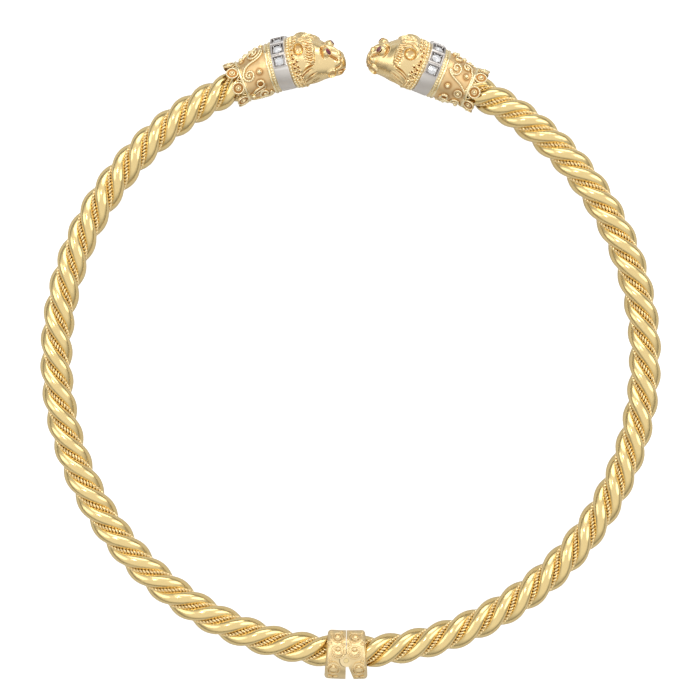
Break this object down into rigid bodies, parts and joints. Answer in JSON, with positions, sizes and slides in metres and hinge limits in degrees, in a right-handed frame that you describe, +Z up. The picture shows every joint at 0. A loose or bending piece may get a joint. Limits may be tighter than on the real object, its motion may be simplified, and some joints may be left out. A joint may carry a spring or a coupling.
{
  "type": "choker",
  "caption": "Rigid hinged choker: two arms of twisted gold rope that end in lion heads with ruby eyes, diamond-set bands and granulated filigree collars, facing each other across the front gap.",
  "frame": {"origin": "middle of the bounding box, on the surface that the choker lies on", "axes": "+Z up from the surface, +Y from the hinge at the back of the neck to the front gap, +X towards the right arm as it is seen from above"},
  "size_m": [0.1336, 0.1394, 0.013],
  "materials": {
    "gold": "polished pale yellow 18-carat gold",
    "worked_gold": "satin warm yellow gold under bright wirework",
    "cast_gold": "cast and chased yellow gold, polished on the high places, dark in the recesses",
    "white_gold": "satin white gold with bright settings",
    "pin_gold": "polished yellow gold",
    "diamond": "clear colourless cut stone",
    "ruby": "dark purple-red cut stone"
  },
  "bodies": {
    "left_half": {"left_strand_1": "gold", "left_strand_2": "gold", "left_strand_3": "gold", "left_collar": "worked_gold", "left_diamond_band": "white_gold", "left_diamond_1": "diamond", "left_diamond_2": "diamond", "left_diamond_3": "diamond", "left_diamond_4": "diamond", "left_diamond_5": "diamond", "left_lion_head": "cast_gold", "left_ruby_1": "ruby", "left_ruby_2": "ruby", "left_hinge_leaf": "cast_gold", "hinge_pin": "pin_gold"},
    "right_half": {"right_strand_1": "gold", "right_strand_2": "gold", "right_strand_3": "gold", "right_collar": "worked_gold", "right_diamond_band": "white_gold", "right_diamond_1": "diamond", "right_diamond_2": "diamond", "right_diamond_3": "diamond", "right_diamond_4": "diamond", "right_diamond_5": "diamond", "right_lion_head": "cast_gold", "right_ruby_1": "ruby", "right_ruby_2": "ruby", "right_hinge_leaf": "cast_gold"}
  },
  "joints": [
    {"name": "back_hinge", "type": "hinge", "parent": "left_half", "child": "right_half", "pos_m": [0, -0.0647, 0.0055], "axis": [0, 0, -1], "range_deg": [0, 20]}
  ]
}
